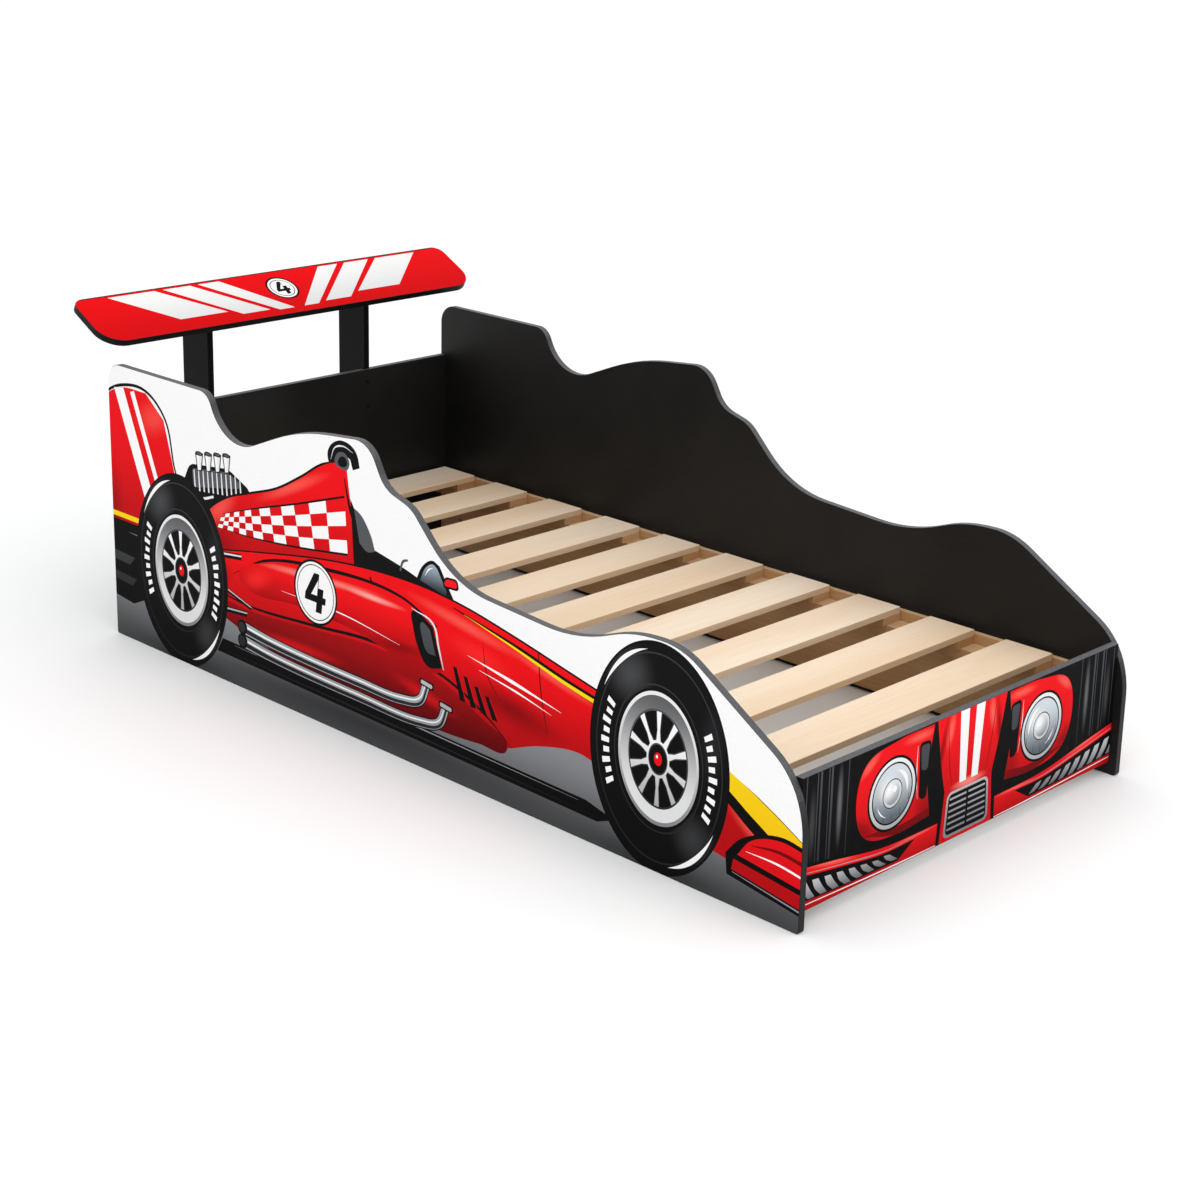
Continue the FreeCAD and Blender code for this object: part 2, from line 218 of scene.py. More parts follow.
def wood(name, light, dark, along, end_direction, side_direction):
    """Planed pale wood with its grain along one axis, x, y or z, and darker at its sides."""
    graph = Graph(name, specular=0.25)
    board_tone = graph.noise(grained(along, 0.4, 5.3), 1.0)
    bands = graph.noise(grained(along, 1.3, 34), 3.0, 0.6)
    growth = graph.math("FRACT", graph.math("MULTIPLY", bands, 9.0))
    growth = graph.math("MULTIPLY", graph.ramp(growth, 0.0, 0.8), graph.ramp(growth, 0.8, 1.0, 1.0, 0.0))
    fibres = graph.noise(grained(along, 9, 720), 3.0)
    pores = graph.noise(grained(along, 55, 1500), 1.0)
    tone = graph.mix(graph.ramp(board_tone, 0.3, 0.7), srgb(light), srgb(dark))
    tone = graph.mix(graph.ramp(growth, 0.0, 1.0, 0.0, 0.14), tone, srgb(dark), "MULTIPLY")
    tone = graph.mix(graph.ramp(fibres, 0.35, 0.75, 0.0, 0.30), tone, srgb(dark))
    tone = graph.mix(graph.ramp(pores, 0.66, 0.80, 0.0, 0.20), tone, srgb("#9A7048"))
    side_tone = graph.mix(1.0, tone, srgb("#E8DCCD"), "MULTIPLY")
    tone = graph.mix(graph.facing(side_direction), tone, side_tone)
    end_rings = graph.noise((90, 90, 60), 2.0, 1.0)
    end_grain = graph.mix(end_rings, srgb("#C79C6C"), srgb("#94683F"))
    graph.colour(graph.mix(graph.facing(end_direction), tone, end_grain))
    graph.roughness(graph.ramp(fibres, 0.2, 0.8, 0.52, 0.70))
    graph.bump(graph.math("ADD", fibres, graph.math("MULTIPLY", bands, 0.6)), 0.12)
    return graph.material


def metal(name, colour, shade, roughness, grain):
    """Plated or cast metal with a fine brushed or grainy skin."""
    graph = Graph(name, metallic=1.0)
    skin = graph.noise(grain, 3.0)
    graph.colour(graph.mix(skin, srgb(shade), srgb(colour)))
    graph.roughness(graph.ramp(skin, 0.2, 0.8, roughness - 0.08, roughness + 0.10))
    graph.bump(skin, 0.02)
    return graph.material


def dress(nodes, material):
    """Gives a material to CAD nodes, in every slot that they have."""
    for node in nodes:
        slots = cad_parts[node].data.materials
        if not slots:
            slots.append(material)
        for index in range(len(slots)):
            slots[index] = material


def named(*starts):
    """The names of the CAD nodes that start so, in order."""
    return sorted(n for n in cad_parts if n.startswith(starts))


def wing_direction():
    """The way the rear wing's top looks."""
    return Vector((sin(radians(WING_TILT)), 0, cos(radians(WING_TILT))))


def dress_nodes():
    """Gives every CAD node its finish."""
    dress(named("side_panel"), board("side_board", ACROSS_BED, "x"))
    dress(["headboard", "footboard"], board("end_board", ALONG_BED, "y"))
    dress(["wing_board"], board("wing_board", wing_direction(), "y", "#141415", "#161616", 0.1))
    # the uprights' faces get a darker black than the other boards' faces: painted shade
    dress(named("wing_upright"), board("upright_board", ACROSS_BED, "z", "#18181A", "#101010", 0.06))
    dress([n for n in named("slat_") if n[len("slat_"):].isdigit()],
          wood("slat_wood", "#F9E8D3", "#EED3B3", "y", ACROSS_BED, ALONG_BED))
    dress(named("side_rail", "slat_ledger"),
          wood("rail_wood", "#DDBE98", "#B98F62", "x", ALONG_BED, ACROSS_BED))
    dress(named("slat_end_blocks"),
          wood("block_wood", "#E8CDAA", "#C59B6C", "y", ACROSS_BED, ALONG_BED))
    dress(["corner_dowels", "wing_dowels", "slat_pegs"],
          wood("dowel_wood", "#D9B98C", "#B48A5A", "x", ALONG_BED, ACROSS_BED))
    dress(["rail_screws", "ledger_screws", "slat_nails", "corner_cam_bolts", "wing_cam_bolts"],
          metal("zinc_plate", "#C9CBD0", "#9A9CA3", 0.32, 700))
    dress(["upright_screws"], metal("black_steel", "#3A3B3D", "#1E1F20", 0.45, 900))
    dress(["corner_cam_locks", "wing_cam_locks"], metal("cast_zinc", "#B9BBC0", "#8C8E94", 0.42, 500))


# ---------------------------------------------------------------- flat drawing

def flow(nodes, closed=True):
    """A line through nodes: it passes smoothly through (x, y) and turns a corner at (x, y, 0)."""
    places = [Vector(node[:2]) for node in nodes]
    count = len(places)
    ends = () if closed else (0, count - 1)
    corner = [len(node) == 3 or i in ends for i, node in enumerate(nodes)]

    def lean(i, chord):
        if corner[i]:
            return chord / 3
        before, after = places[i] - places[i - 1], places[(i + 1) % count] - places[i]
        return (before.normalized() + after.normalized()).normalized() * chord.length / 3

    line = []
    for i in range(count if closed else count - 1):
        j = (i + 1) % count
        chord = places[j] - places[i]
        steps = 1 if corner[i] and corner[j] else SPAN_STEPS
        span = interpolate_bezier(places[i], places[i] + lean(i, chord),
                                  places[j] - lean(j, chord), places[j], steps + 1)
        line += [p.to_2d() for p in span[:-1]]
    if not closed:
        line.append(places[-1])
    return line


def ribbon(nodes, widths):
    """A stripe along a smooth line, whose width runs evenly through the given widths."""
    line = flow(nodes, closed=False)
    last = len(line) - 1
    left, right = [], []
    for k, place in enumerate(line):
        heading = (line[min(k + 1, last)] - line[max(k - 1, 0)]).normalized()
        share = k / last * (len(widths) - 1)
        i = min(int(share), len(widths) - 2)
        width = widths[i] + (share - i) * (widths[i + 1] - widths[i])
        aside = Vector((-heading.y, heading.x)) * max(width, HAIRLINE) / 2
        left.append(place + aside)
        right.append(place - aside)
    return left + right[::-1]


def round_point(centre, radius, angle):
    return centre + radius * Vector((cos(radians(angle)), sin(radians(angle))))


def disc(centre, radius, flat=1.0, steps=DISC_STEPS):
    turn = [2 * pi * k / steps for k in range(steps)]
    return [centre + Vector((radius * cos(a), radius * flat * sin(a))) for a in turn]


def polygon(*corners, shift=(0, 0)):
    """An outline with straight sides."""
    return [Vector(corner) + Vector(shift) for corner in corners]


def rings(centre, layers, steps=DISC_STEPS):
    """Discs on one another, from (ink, radius) pairs with the lowest first, as (ink, outline)."""
    return [(name, disc(centre, radius, steps=steps)) for name, radius in layers]


def band(centre, inner, outer, start, end, steps=24):
    """Part of a ring, from one angle to another, in degrees."""
    angles = [start + (end - start) * k / steps for k in range(steps + 1)]
    return ([round_point(centre, outer, a) for a in angles]
            + [round_point(centre, inner, a) for a in reversed(angles)])


def sickle(centre, inner, outer, start, end, steps=24):
    """Part of a ring that tapers to a point at both ends."""
    middle, half, blunt = (inner + outer) / 2, (outer - inner) / 2, 0.02
    angles = [start + (end - start) * k / steps for k in range(steps + 1)]
    swell = [half * max(sin(pi * k / steps), blunt) for k in range(steps + 1)]
    return ([round_point(centre, middle + s, a) for a, s in zip(angles, swell)]
            + [round_point(centre, middle - s, a) for a, s in reversed(list(zip(angles, swell)))])


def rounded(corners, radius, steps=6):
    """A polygon whose corners are all rounded with one radius, or less where a side is short."""
    pull, shares = 0.55, 2.1
    outline = []
    for i, corner in enumerate(corners):
        here = Vector(corner)
        back = Vector(corners[i - 1]) - here
        ahead = Vector(corners[(i + 1) % len(corners)]) - here
        cut = min(radius, back.length / shares, ahead.length / shares)
        start, end = here + back.normalized() * cut, here + ahead.normalized() * cut
        bend = interpolate_bezier(start, start.lerp(here, pull), end.lerp(here, pull), end, steps + 1)
        outline += [p.to_2d() for p in bend]
    return outline


def moved(outline, shift=(0, 0), scale=1.0, slant=0.0):
    return [Vector((scale * (x + slant * y) + shift[0], scale * y + shift[1])) for x, y in outline]


def flipped(outline):
    return [Vector((-x, y)) for x, y in outline]


def chequers(low_nodes, high_nodes, columns, rows, growth):
    """Every other square of a chequered band between two lines; the columns widen by growth."""
    low_line, high_line = flow(low_nodes, closed=False), flow(high_nodes, closed=False)

    def along(line, share):
        k = min(int(share * (len(line) - 1)), len(line) - 2)
        return line[k].lerp(line[k + 1], share * (len(line) - 1) - k)

    def corner(i, j):
        share = (growth ** i - 1) / (growth ** columns - 1)
        return along(low_line, share).lerp(along(high_line, share), j / rows)

    return [[corner(i, j), corner(i + 1, j), corner(i + 1, j + 1), corner(i, j + 1)]
            for i in range(columns) for j in range(rows) if (i + j) % 2 == 0]


# ---------------------------------------------------------------- printed inks

def ink(name, low_colour, high_colour, low=0.0, high=0.45, spots=(), roughness=0.45, plane="XZ"):
    """Printing ink under a satin film: one colour running into another between two heights, with
    soft airbrushed spots, faint mottling and the film's fine ripple. A spot is its centre and
    radii in millimetres, its turn in degrees, its strength and its colour."""
    graph = Graph(name, specular=FILM_SPECULAR)
    colour = graph.mix(graph.ramp(graph.height(), low, high), srgb(low_colour), srgb(high_colour))
    for centre, radii, turn, strength, tint in spots:
        cover = graph.math("MULTIPLY", graph.glow(centre, radii, turn, plane), strength)
        colour = graph.mix(cover, colour, srgb(tint))
    mottle = graph.noise(260, 3.0)
    graph.colour(graph.mix(graph.ramp(mottle, 0.2, 0.8, 0.0, 0.05), colour, srgb("#000000")))
    ripple = graph.noise(75, 1.0)
    graph.roughness(graph.ramp(ripple, 0.3, 0.7, roughness - 0.04, roughness + 0.05))
    graph.bump(graph.math("ADD", ripple, graph.math("MULTIPLY", mottle, 0.15)), 0.05)
    return graph.material


def side_inks():
    """The inks of a side panel, by name."""
    hub, rim = REAR_HUB.y * MM, 0.125
    light, mid, dark = "#FF5A50", "#FF2A28", "#7A0A0D"
    tyre_spots = []
    for place in (REAR_HUB, FRONT_HUB):
        tyre_spots += [((place.x - 70, place.y + 135), (70, 60), 40, 0.9, "#4A4B4D"),
                       ((place.x + 85, place.y - 120), (60, 60), 40, 0.8, "#3C3D3F"),
                       ((place.x + 120, place.y + 60), (34, 90), 0, 0.5, "#333436")]
    looks = [
        ("white", "#FAFAFA", "#FDFDFD"),
        ("foot_grey", "#47484A", "#888A8E", 0.0, 0.17, [
            ((-100, 40), (700, 46), 0, 0.75, "#2A2B2C"), ((690, 10), (230, 40), 0, 0.7, "#2A2B2C"),
            ((-673, 10), (230, 40), 0, 0.7, "#2A2B2C")]),
        ("tail_red", "#B50F14", "#EE131B", 0.20, 0.50, [
            ((-760, 520), (90, 50), 20, 0.6, light), ((-930, 300), (60, 120), 0, 0.6, dark)]),
        ("cover_red", "#C01016", "#F2141B", 0.28, 0.50, [
            ((-540, 372), (90, 34), 38, 0.8, light), ((-300, 470), (150, 18), 24, 0.9, light),
            ((-560, 290), (110, 50), 10, 0.7, dark), ((-100, 400), (24, 120), 0, 0.6, dark),
            ((-330, 300), (240, 24), 6, 0.6, dark)]),
        ("red", "#B40F14", "#F2131A", 0.13, 0.31, [
            ((200, 318), (190, 17), -8, 0.85, light), ((430, 282), (150, 14), -12, 0.8, light),
            ((330, 190), (170, 40), -8, 0.8, dark), ((-560, 240), (80, 40), 0, 0.6, dark),
            ((900, 150), (80, 22), -32, 0.7, light), ((240, 270), (110, 30), -8, 0.8, mid)]),
        ("deep_red", "#5E080B", "#AC1015", 0.09, 0.23, [
            ((-300, 140), (200, 18), 2, 0.8, "#D8161C"), ((90, 150), (120, 20), -10, 0.8, "#D8161C")]),
        ("pod_red", "#A80D12", "#F4141B", 0.20, 0.30, [
            ((-230, 300), (230, 11), 4, 1.0, "#FF8A7E"), ((-60, 304), (110, 9), 0, 0.9, "#FFB4AA"),
            ((-420, 250), (70, 30), 20, 0.8, mid), ((20, 226), (110, 16), 4, 0.7, dark),
            ((-250, 226), (180, 12), 2, 0.7, dark)]),
        ("bright_red", "#DC131A", "#FF1C24", 0.1, 0.4),
        ("black", "#0C0C0D", "#141415"),
        ("graphite", "#232426", "#585A5E", 0.05, 0.40),
        ("tyre", "#0D0D0D", "#161617", 0.0, 0.4, tyre_spots),
        ("wall_line", "#242425", "#38383A", 0.0, 0.4),
        ("rim", "#E2E3E4", "#5E6063", hub - rim * 0.6, hub + rim),
        ("rim_lip", "#85878A", "#EDEEEE", hub - rim, hub + rim * 0.9),
        ("spoke", "#A9ABAE", "#FDFDFD", hub - rim * 0.8, hub + rim * 0.6),
        ("silver", "#8E9196", "#EEF0F2", 0.05, 0.35),
        ("chrome_light", "#E4E6E8", "#FFFFFF", 0.05, 0.2),
        ("yellow", "#F4C416", "#FFE41C", 0.1, 0.4),
        ("smoke", "#2E353C", "#A4B2BE", 0.36, 0.42),
    ]
    return {name: ink("side_" + name, *look) for name, *look in looks}


# ---------------------------------------------------------------- the side panels' drawing

def wheel(hub):
    """A road wheel: tyre with plain marks, rim, spokes and a red hub nut."""
    middle = Vector((0, 0))
    parts = rings(middle, [("black", WHEEL_RADIUS + 4), ("tyre", WHEEL_RADIUS), ("wall_line", 190),
                           ("tyre", 187), ("wall_line", 134), ("tyre", 131)])
    parts += [("white", sickle(middle, 190, 199, 102, 150)), ("white", sickle(middle, 189, 199, 282, 330))]
    for start in (152, -28):
        for k in range(9):
            angle = start + 6.6 * k
            parts.append(("white", band(middle, 150, 168 if k % 2 else 174, angle, angle + 3.6, 3)))
    parts += rings(middle, [("black", 126), ("rim_lip", 121), ("rim", 114), ("graphite", 90), ("black", 86)])
    for k in range(SPOKES):
        turn = Matrix.Rotation(2 * pi * k / SPOKES + pi / 2, 2)
        for colour, spread in (("graphite", 2.2), ("spoke", 0.0)):
            blade = [(20, 8 + spread), (52, 3.6 + spread), (86, 7 + spread)]
            blade += [(across, -half) for across, half in reversed(blade)]
            parts.append((colour, [turn @ Vector(p) for p in blade]))
    parts += rings(middle, [("spoke", 34), ("graphite", 29), ("black", 26)])
    parts += [("bright_red", disc(middle, 12, steps=48)), ("white", disc(Vector((-3, 4)), 3, steps=20))]
    return [(name, [Vector((hub.x + x * WHEEL_SQUEEZE, hub.y + y)) for x, y in outline])
            for name, outline in parts]


def foot_and_floor():
    """The grey foot of the panel, the dark block behind the rear wheel and the plank under the car."""
    foot = flow([(-980, -10, 0), (1020, -10, 0), (1020, 118, 0), (560, 162, 0), (-600, 162, 0),
                 (-700, 236), (-980, 236, 0)])
    return [("foot_grey", foot),
            ("black", polygon((-980, 96), (-860, 84), (-800, 110), (-800, 240), (-980, 250))),
            ("graphite", polygon((-980, 176), (-870, 170), (-850, 190), (-980, 196))),
            ("graphite", polygon((-980, 132), (-862, 124), (-846, 142), (-980, 150))),
            ("black", polygon((-560, 60), (548, 46), (590, 62), (520, 78), (-540, 92))),
            ("silver", ribbon([(-500, 86), (0, 80), (500, 72)], [0.4, 3, 0.4])),
            ("graphite", ribbon([(-520, 68), (0, 62), (540, 55)], [0.4, 4, 0.4]))]


def tail():
    """The upright plate at the rear, with slanted stripes and a dark foot."""
    plate = flow([(-980, 262, 0), (-980, 470, 0), (-936, 536), (-880, 562), (-790, 566, 0), (-728, 520, 0),
                  (-690, 400, 0), (-600, 330, 0), (-560, 262, 0)])
    rim = ribbon([(-975, 492), (-935, 542), (-880, 567), (-788, 570), (-722, 522), (-684, 404),
                  (-596, 334)], [5, 7, 6, 4])
    shapes = [("black", rim), ("tail_red", plate)]
    for left, right in ((-905, -871), (-846, -832)):
        shapes.append(("white", polygon((left, 558), (right, 563), (right + 116, 300), (left + 116, 300))))
    return shapes + [("black", polygon((-980, 244), (-600, 244), (-610, 266), (-980, 266))),
                     ("yellow", polygon((-980, 272), (-800, 272), (-808, 283), (-980, 283)))]


def engine_cover():
    """The red cover that rises behind the driver's seat, with a chequered band and an intake."""
    top = [(-618, 300), (-585, 352), (-520, 396), (-440, 424), (-350, 454), (-270, 496), (-206, 534),
           (-160, 548)]
    cover = flow([(-640, 240, 0), (-618, 300, 0)] + top[1:]
                 + [(-132, 540, 0), (-118, 466), (-88, 398, 0), (-88, 250, 0)])
    funnel = ribbon([(-170, 540), (-176, 562), (-150, 580), (-116, 574), (-104, 548)], [24, 30, 22])
    shapes = [("black", funnel), ("black", ribbon(top, [3, 9, 10, 9])), ("cover_red", cover)]
    low = [(-548, 330), (-420, 336), (-270, 352), (-132, 372)]
    high = [(-532, 362), (-430, 396), (-290, 438), (-140, 486)]
    shapes += [("white", square) for square in chequers(low, high, columns=13, rows=4, growth=1.10)]
    shapes += [("black", ribbon(line, [1, 4, 4.5])) for line in (low, high)]
    return shapes + [
        ("graphite", flow([(-168, 548), (-160, 568), (-138, 572), (-124, 556), (-132, 540), (-150, 540)])),
        ("black", flow([(-158, 548), (-152, 562), (-138, 564), (-131, 553), (-138, 545)])),
        ("silver", ribbon([(-180, 552), (-168, 577), (-142, 585), (-114, 578)], [0.5, 3.5, 0.5])),
        ("black", ribbon([(-140, 522), (-122, 462), (-92, 404)], [3, 8, 5])),
    ]


def engine():
    """The finned engine that shows between the tail and the cover, with four open funnels."""
    block = [(-668, 300), (-430, 300), (-436, 432), (-508, 462), (-640, 446), (-676, 380)]
    lid = [(-628, 398), (-462, 430), (-474, 443), (-514, 454), (-632, 438)]
    shapes = [("black", rounded(block, 14)), ("graphite", rounded(lid, 8))]
    for k in range(11):
        foot = Vector((-622 + 15.5 * k, 392 + 1.8 * k))
        shapes.append(("silver", ribbon([foot, foot + Vector((-3, 44))], [4.6, 3.2])))
    for k in range(4):
        at = Vector((-606 + 31 * k, 462 + 5 * k))
        mouth = at + Vector((0, 12))
        shapes += [("black", polygon((-7, -26), (8, -24), (14, 15), (-14, 11), shift=at)),
                   ("silver", polygon((-5, -24), (5, -22), (10, 10), (-10, 7), shift=at)),
                   ("chrome_light", polygon((-3, -24), (0, -23), (-1, 8), (-8, 7), shift=at)),
                   ("black", disc(mouth, 13, 0.36, 24)), ("graphite", disc(mouth, 9, 0.3, 24))]
    return shapes + [("silver", ribbon([(-664, 372), (-640, 384), (-600, 380), (-560, 392)], [7, 6, 5])),
                     ("black", ribbon([(-664, 366), (-640, 378), (-600, 374), (-560, 386)], [2, 2, 2]))]


def cockpit():
    """The cockpit: dark opening, headrest, steering wheel, low screen and mirror."""
    opening = flow([(-122, 486, 0), (-98, 448), (-72, 404, 0), (40, 384), (112, 366, 0), (180, 352, 0),
                    (180, 326, 0), (-112, 336, 0)])
    headrest = flow([(-112, 470, 0), (-88, 460), (-62, 430), (-50, 398, 0), (-74, 392), (-96, 404, 0)])
    return [("black", opening), ("graphite", headrest),
            ("silver", ribbon([(-108, 470), (-86, 458), (-62, 428), (-51, 400)], [0.5, 3.5, 0.5])),
            ("graphite", ribbon([(22, 378), (30, 398), (44, 404)], [5, 6, 4])),
            ("black", flow([(66, 370, 0), (84, 402), (112, 420), (132, 414, 0), (176, 352, 0)])),
            ("smoke", flow([(78, 374, 0), (94, 402), (114, 413), (126, 407, 0), (160, 358, 0)])),
            ("white", ribbon([(92, 386), (102, 400), (114, 406)], [0.5, 3.4, 0.5])),
            ("black", ribbon([(150, 352), (158, 380)], [4, 4])),
            ("black", rounded([(140, 376), (186, 378), (182, 400), (146, 398)], 9)),
            ("bright_red", rounded([(144, 380), (181, 382), (178, 396), (149, 394)], 7))]


def body_side():
    """The long red flank from the engine to the nose, its pod, intake and lines."""
    top = [(-640, 262), (-420, 306), (-150, 350), (60, 362), (190, 353), (330, 330), (470, 302), (600, 276),
           (760, 246), (880, 205), (1020, 128)]
    flank = flow([top[0] + (0,)] + top[1:-1] + [top[-1] + (0,), (1020, 66, 0), (820, 84), (560, 148),
                 (500, 160), (400, 142), (300, 108), (60, 96), (-200, 100), (-430, 128), (-640, 180, 0)])
    under = flow([(-640, 196, 0), (-470, 176), (-260, 190), (-60, 206), (120, 196), (250, 150), (318, 112),
                  (240, 98), (60, 90), (-200, 92), (-430, 118), (-640, 168, 0)])
    pod = flow([(-480, 246), (-390, 290), (-200, 318), (20, 320), (118, 288, 0), (146, 212, 0), (100, 196),
                (-100, 222), (-300, 228), (-440, 220)])
    intake = flow([(56, 308), (114, 292, 0), (140, 216, 0), (98, 210), (70, 244), (58, 278)])
    return [
        ("black", ribbon(top, [6, 7, 8, 8, 8, 8, 7, 6])), ("red", flank), ("deep_red", under),
        ("black", ribbon([(-640, 206), (-460, 186), (-250, 199), (-60, 216), (130, 205), (262, 158),
                          (330, 116)], [1, 6, 7, 6, 1])),
        ("black", ribbon([(-500, 242), (-392, 296), (-200, 326), (20, 328), (126, 294)], [1, 6, 8, 6, 5])),
        ("pod_red", pod), ("black", intake),
        ("silver", ribbon([(54, 313), (116, 296), (130, 256), (144, 214)], [1, 5, 5, 2])),
        ("graphite", flow([(82, 292), (106, 284, 0), (122, 236, 0), (98, 238), (84, 262)])),
        ("chrome_light", ribbon([(-340, 246), (-150, 247), (20, 230)], [0.4, 2.5, 0.4])),
        ("black", ribbon([(-66, 344), (-58, 330)], [5, 5])),
        ("black", ribbon([(250, 300), (262, 240), (300, 196)], [0.6, 2.6, 0.6])),
        ("black", ribbon([(395, 318), (402, 250), (420, 172)], [2.6, 2.6, 1.2])),
    ]


def flank_stripes():
    """The yellow and black stripe that sweeps along the flank to the nose."""
    return [
        ("black", ribbon([(170, 344), (330, 314), (480, 280), (640, 252), (800, 228), (920, 172),
                          (1030, 108)], [2, 11, 15, 28, 62, 76])),
        ("yellow", ribbon([(200, 338), (330, 311), (480, 277), (640, 252), (800, 238), (920, 184),
                           (1030, 124)], [0.5, 5, 8, 17, 38, 46])),
        ("white", ribbon([(210, 262), (330, 244), (455, 222)], [0.4, 7, 0.4])),
        ("white", ribbon([(240, 242), (340, 228), (430, 210)], [0.4, 4, 0.4])),
    ]


def vents():
    """Slanted black gills on the flank in front of the intake."""
    shapes = []
    for k in range(4):
        at, top = (190 + 29 * k, 168 - 4 * k), 62 - 7 * k
        shapes += [("black", polygon((0, 0), (15, 0), (-10, top), (-20, top), shift=at)),
                   ("bright_red", moved(ribbon([(16, 3), (-7, top - 4)], [1, 2.4, 1]), at))]
    return shapes


def side_pipes():
    """Two long pipes under the pod, which leave the body at flanges and are open at the rear."""
    shapes = []
    for level, front in ((98, 150), (128, 96)):
        spine = [(-470, level + 6), (-380, level - 2), (-100, level - 8), (front - 70, level - 6),
                 (front - 18, level + 8), (front, level + 44)]
        mouth, flange = Vector(spine[0]), spine[-1]
        shapes += [("black", ribbon(spine, [31, 27, 25, 24, 24])),
                   ("silver", ribbon(spine, [26, 22, 20, 19, 19])),
                   ("graphite", ribbon([(x + 2, y - 5) for x, y in spine], [10, 8, 7, 6, 5])),
                   ("chrome_light", ribbon([(x - 1, y + 4) for x, y in spine], [5, 4, 3.4, 3, 1])),
                   ("black", disc(mouth - Vector((2, 0)), 16, steps=40)),
                   ("graphite", disc(mouth - Vector((4, 0)), 11, steps=40)),
                   ("black", rounded(polygon((-20, -4), (20, -8), (21, 7), (-19, 10), shift=flange), 4)),
                   ("silver", rounded(polygon((-16, -1), (16, -5), (17, 3), (-15, 7), shift=flange), 3))]
    return shapes


def front_wing():
    """The low red wing before the front wheel, in two steps over a dark gap."""
    gap = flow([(850, 54, 0), (1030, 30, 0), (1030, 150, 0), (962, 158), (880, 128), (846, 92, 0)])
    return [("black", gap),
            ("bright_red", flow([(872, 96, 0), (1030, 78, 0), (1030, 142, 0), (960, 150), (900, 130)])),
            ("red", polygon((860, 66), (1030, 42), (1030, 68), (864, 86))),
            ("white", ribbon([(890, 108), (960, 108), (1030, 98)], [0.6, 4, 4])),
            ("deep_red", ribbon([(900, 122), (960, 130), (1030, 122)], [1, 6, 8])),
            ("silver", ribbon([(862, 62), (1030, 37)], [1, 3.5]))]


def rear_arms():
    """The slim arms that hold the rear wheel, each with a bright upper edge."""
    shapes = []
    for start, end, width in (((-640, 262), (-470, 284), 13), ((-640, 150), (-455, 166), 12),
                              ((-640, 232), (-440, 182), 9)):
        edge = [(x, y + 2) for x, y in (start, end)]
        shapes += [("black", ribbon([start, end], [width, width])),
                   ("silver", ribbon(edge, [width * 0.4, width * 0.25]))]
    return shapes


def number_disc(at, radius, mirror=False):
    """A white disc with a plain number, upright and readable on either side."""
    figures = [moved(figure, scale=radius / FIGURE_DISC, slant=0.14) for figure in (FOUR, FOUR_COUNTER)]
    if mirror:
        figures = [flipped(figure) for figure in figures]
    shapes = rings(at, [("black", radius + 5), ("white", radius), ("black", radius - 5),
                        ("white", radius - 7)])
    return shapes + [("black", moved(figures[0], at)), ("white", moved(figures[1], at))]


def everywhere(outline):
    """A rectangle that reaches past an outline on every side."""
    spare = 20.0
    across, upward = [p.x for p in outline], [p.y for p in outline]
    left, right = min(across) - spare, max(across) + spare
    low, high = min(upward) - spare, max(upward) + spare
    return polygon((left, low), (right, low), (right, high), (left, high))


def side_drawing(mirror):
    """Everything printed on a side panel, from the bottom layer up, as (ink, outline)."""
    shapes = foot_and_floor() + tail() + engine() + engine_cover() + cockpit() + body_side() + side_pipes()
    shapes += vents() + flank_stripes() + front_wing() + rear_arms()
    shapes += number_disc(Vector((-232, 270)), 62, mirror)
    shapes += wheel(REAR_HUB) + wheel(FRONT_HUB)
    return [(name, flipped(outline)) for name, outline in shapes] if mirror else shapes


def on_side(mirror):
    """The drawing of one side panel over a white ground, as a function of the panel's outline."""
    return lambda outline: [("white", everywhere(outline))] + side_drawing(mirror)


# ---------------------------------------------------------------- the footboard's drawing

def foot_inks():
    """The inks of the footboard, by name."""
    light, dark = "#FF6A5E", "#6E080B"

    def both(across, up, wide, tall, turn, strength, tint):
        """The same spot on either half of the board."""
        return [((side * across, up), (wide, tall), -side * turn, strength, tint) for side in (1, -1)]

    lamp = [((side * 222 - 12, 176), (34, 30), 0, 1.0, "#FFFFFF") for side in (1, -1)]
    looks = [
        ("night", "#0A0A0B", "#17181A", 0.03, 0.26, (), 0.4),
        ("red", "#C00F15", "#F4171E", 0.06, 0.24, (
            both(150, 250, 60, 12, 0, 0.8, light) + both(288, 236, 44, 14, 34, 0.8, light)
            + both(300, 120, 60, 30, -30, 0.7, dark) + both(128, 110, 40, 60, 0, 0.6, dark))),
        ("bonnet", "#C81117", "#F81820", 0.10, 0.26, (
            both(62, 236, 14, 46, -10, 0.9, light) + both(86, 200, 12, 90, -10, 0.8, dark)
            + both(0, 124, 60, 12, 0, 0.7, "#FF8A7E"))),
        ("bumper", "#B40E13", "#F0161D", 0.02, 0.09, (
            both(380, 92, 90, 8, -10, 0.9, light) + both(150, 66, 80, 5, 0, 0.8, light)
            + both(60, 30, 60, 14, 0, 0.6, dark))),
        ("deep_red", "#5E070A", "#A20E13", 0.04, 0.2),
        ("black", "#080808", "#101011", 0.03, 0.26),
        ("tyre", "#0B0B0C", "#111112", 0.03, 0.26, (
            both(366, 190, 10, 90, 0, 0.9, "#6C6E72") + both(436, 176, 12, 80, 0, 0.7, "#4C4E52"))),
        ("graphite", "#1F2022", "#4C4E53", 0.03, 0.26),
        ("silver", "#83868B", "#F2F3F4", 0.03, 0.24),
        ("fin", "#54575B", "#D3D5D8", 0.026, 0.090),
        ("white", "#F0F1F2", "#FCFCFC", 0.03, 0.26),
        ("lens", "#59636C", "#D6DEE5", 0.11, 0.21, lamp),
    ]
    return {name: ink("foot_" + name, *look, plane="YZ") for name, *look in looks}


